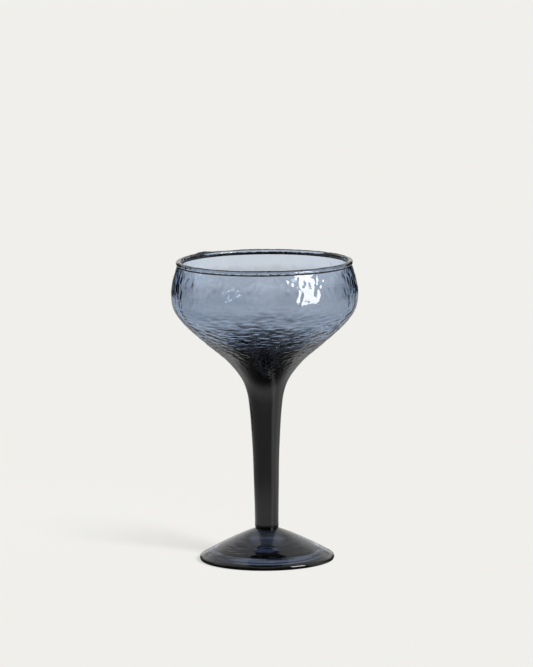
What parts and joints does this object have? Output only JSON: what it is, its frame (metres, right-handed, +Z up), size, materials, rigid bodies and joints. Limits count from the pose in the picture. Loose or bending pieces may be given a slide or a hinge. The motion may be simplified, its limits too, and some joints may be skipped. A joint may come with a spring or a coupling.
{
  "type": "cocktail glass",
  "caption": "Stemmed coupe in smoky blue-grey glass: hammered bowl with a funnel bottom and a wrapped lip, waisted solid stem, low conical foot.",
  "frame": {"origin": "centre of the foot's rest circle, on the surface that the glass stands on", "axes": "+Z up along the glass's axis, from the foot to the mouth; -Y towards the viewer, +X to the viewer's right"},
  "size_m": [0.1, 0.1, 0.1629],
  "materials": {
    "foot_glass": "clear smoky blue-black glass, fire polished",
    "stem_glass": "deep neutral smoke glass, fire polished",
    "bowl_glass": "smoky blue-grey glass, hammered and rippled outside",
    "lip_glass": "smoky blue-grey glass, fire polished"
  },
  "bodies": {
    "root": {"foot": "foot_glass", "stem": "stem_glass", "bowl": "bowl_glass", "lip_wrap": "lip_glass"}
  },
  "joints": []
}
